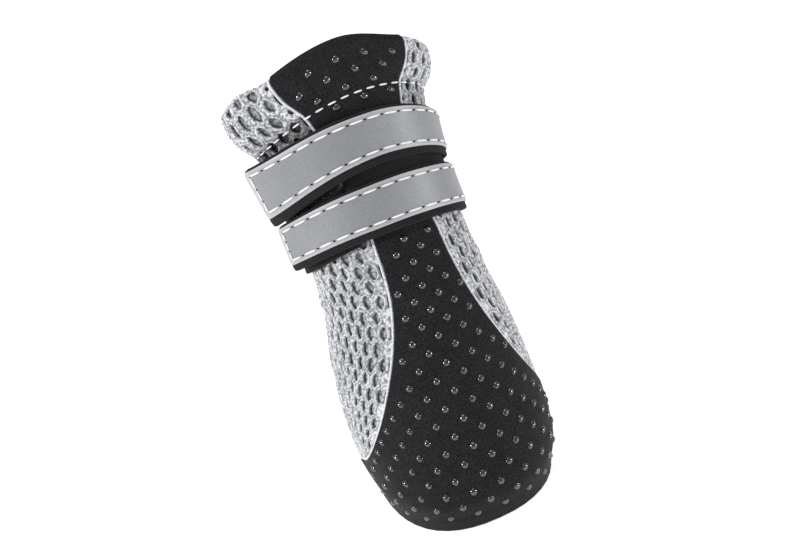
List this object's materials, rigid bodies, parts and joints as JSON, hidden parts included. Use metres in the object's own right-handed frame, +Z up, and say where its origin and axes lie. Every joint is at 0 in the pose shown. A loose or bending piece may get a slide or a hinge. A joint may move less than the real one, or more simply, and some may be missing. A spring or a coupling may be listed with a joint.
{
  "type": "dog boot",
  "caption": "Soft dog boot with a mesh shaft, a dotted toe panel, a thin rubber sole and two reflective hook and loop ankle straps.",
  "frame": {"origin": "on the floor under the ball of the boot, at the middle of the central tread pad", "axes": "+Z up, toe towards -Y, heel towards +Y, +X to the side where the straps wrap round; their free ends lie at -X"},
  "size_m": [0.0575, 0.0846, 0.1211],
  "materials": {
    "outsole": "matt moulded rubber",
    "insole": "cloth over thin foam",
    "mesh": "knitted air mesh with oval holes",
    "panel": "matt cloth-faced foam with raised gloss dots",
    "loop": "brushed loop pile",
    "strap": "woven hook strap with a soft edge",
    "tape": "satin reflective tape, stitched"
  },
  "bodies": {
    "root": {"outsole": "outsole", "insole": "insole", "upper": "mesh", "front_panel": "panel", "strap_loop_lower": "loop", "strap_loop_upper": "loop", "strap_lower": "strap", "strap_upper": "strap", "reflective_lower": "tape", "reflective_upper": "tape"}
  },
  "joints": []
}
